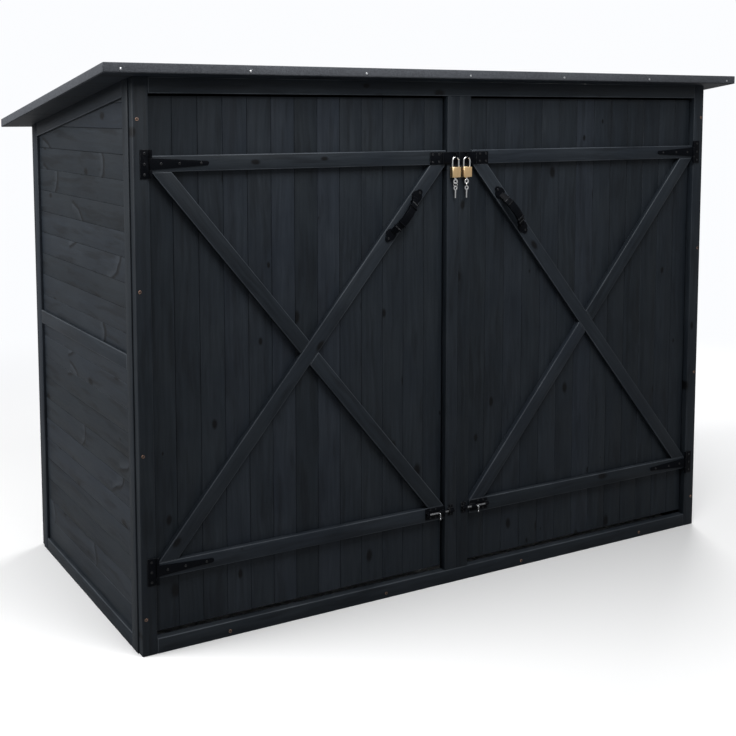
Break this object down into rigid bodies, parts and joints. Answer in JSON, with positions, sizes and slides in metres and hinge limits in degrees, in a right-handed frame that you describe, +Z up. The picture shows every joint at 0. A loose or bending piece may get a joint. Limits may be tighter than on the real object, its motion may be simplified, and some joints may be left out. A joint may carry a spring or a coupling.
{
  "type": "bike shelter",
  "caption": "Low timber bike store with a pent felt roof, two cross-braced ledged doors on strap hinges, hasps with padlocks, barrel bolts and bow handles.",
  "frame": {"origin": "on the ground under the middle of the roof outline", "axes": "+X along the front to the right seen from the front, +Y from the doors to the back, +Z up"},
  "size_m": [2.182, 1.039, 1.5483],
  "materials": {
    "stained_timber": "dark anthracite timber stain, matt",
    "bare_timber": "dark stained sawn boards, matt",
    "felt": "mineral-surfaced bitumen roofing felt",
    "black_ironmongery": "satin black powder coat",
    "bolt_steel": "bright zinc plate",
    "plated_steel": "nickel plate",
    "lock_brass": "brushed brass"
  },
  "bodies": {
    "shed": {"back_boards": "stained_timber", "back_rails": "stained_timber", "back_stiles": "stained_timber", "bolt_keepers": "black_ironmongery", "centre_stile_left": "stained_timber", "centre_stile_right": "stained_timber", "front_bottom_rail": "stained_timber", "front_left_post": "stained_timber", "front_right_post": "stained_timber", "front_top_rail": "stained_timber", "hasp_staples": "black_ironmongery", "left_hinge_plates": "black_ironmongery", "left_side_boards": "stained_timber", "left_side_rails": "stained_timber", "left_side_stiles": "stained_timber", "padlock_bodies": "lock_brass", "padlock_keys": "plated_steel", "padlock_shackles": "plated_steel", "right_hinge_plates": "black_ironmongery", "right_side_boards": "stained_timber", "right_side_rails": "stained_timber", "right_side_stiles": "stained_timber", "roof_bearer": "bare_timber", "roof_deck": "bare_timber", "roof_felt": "felt"},
    "left_door": {"left_door_boards": "stained_timber", "left_door_bolt_housing": "black_ironmongery", "left_door_handle": "black_ironmongery", "left_door_hasp": "black_ironmongery", "left_door_hinge_straps": "black_ironmongery", "left_door_ledges": "stained_timber", "left_door_long_brace": "stained_timber", "left_door_short_braces": "stained_timber"},
    "right_door": {"right_door_boards": "stained_timber", "right_door_bolt_housing": "black_ironmongery", "right_door_handle": "black_ironmongery", "right_door_hasp": "black_ironmongery", "right_door_hinge_straps": "black_ironmongery", "right_door_ledges": "stained_timber", "right_door_long_brace": "stained_timber", "right_door_short_braces": "stained_timber"},
    "left_bolt": {"left_bolt": "bolt_steel"},
    "right_bolt": {"right_bolt": "bolt_steel"}
  },
  "joints": [
    {"name": "left_door_hinge", "type": "hinge", "parent": "shed", "child": "left_door", "pos_m": [-0.9555, -0.4705, 0.7], "axis": [0, 0, -1], "range_deg": [0, 170]},
    {"name": "right_door_hinge", "type": "hinge", "parent": "shed", "child": "right_door", "pos_m": [0.9555, -0.4705, 0.7], "axis": [0, 0, 1], "range_deg": [0, 170]},
    {"name": "left_bolt_slide", "type": "slide", "parent": "left_door", "child": "left_bolt", "axis": [-1, 0, 0], "range_m": [0, 0.029]},
    {"name": "right_bolt_slide", "type": "slide", "parent": "right_door", "child": "right_bolt", "axis": [1, 0, 0], "range_m": [0, 0.029]}
  ]
}
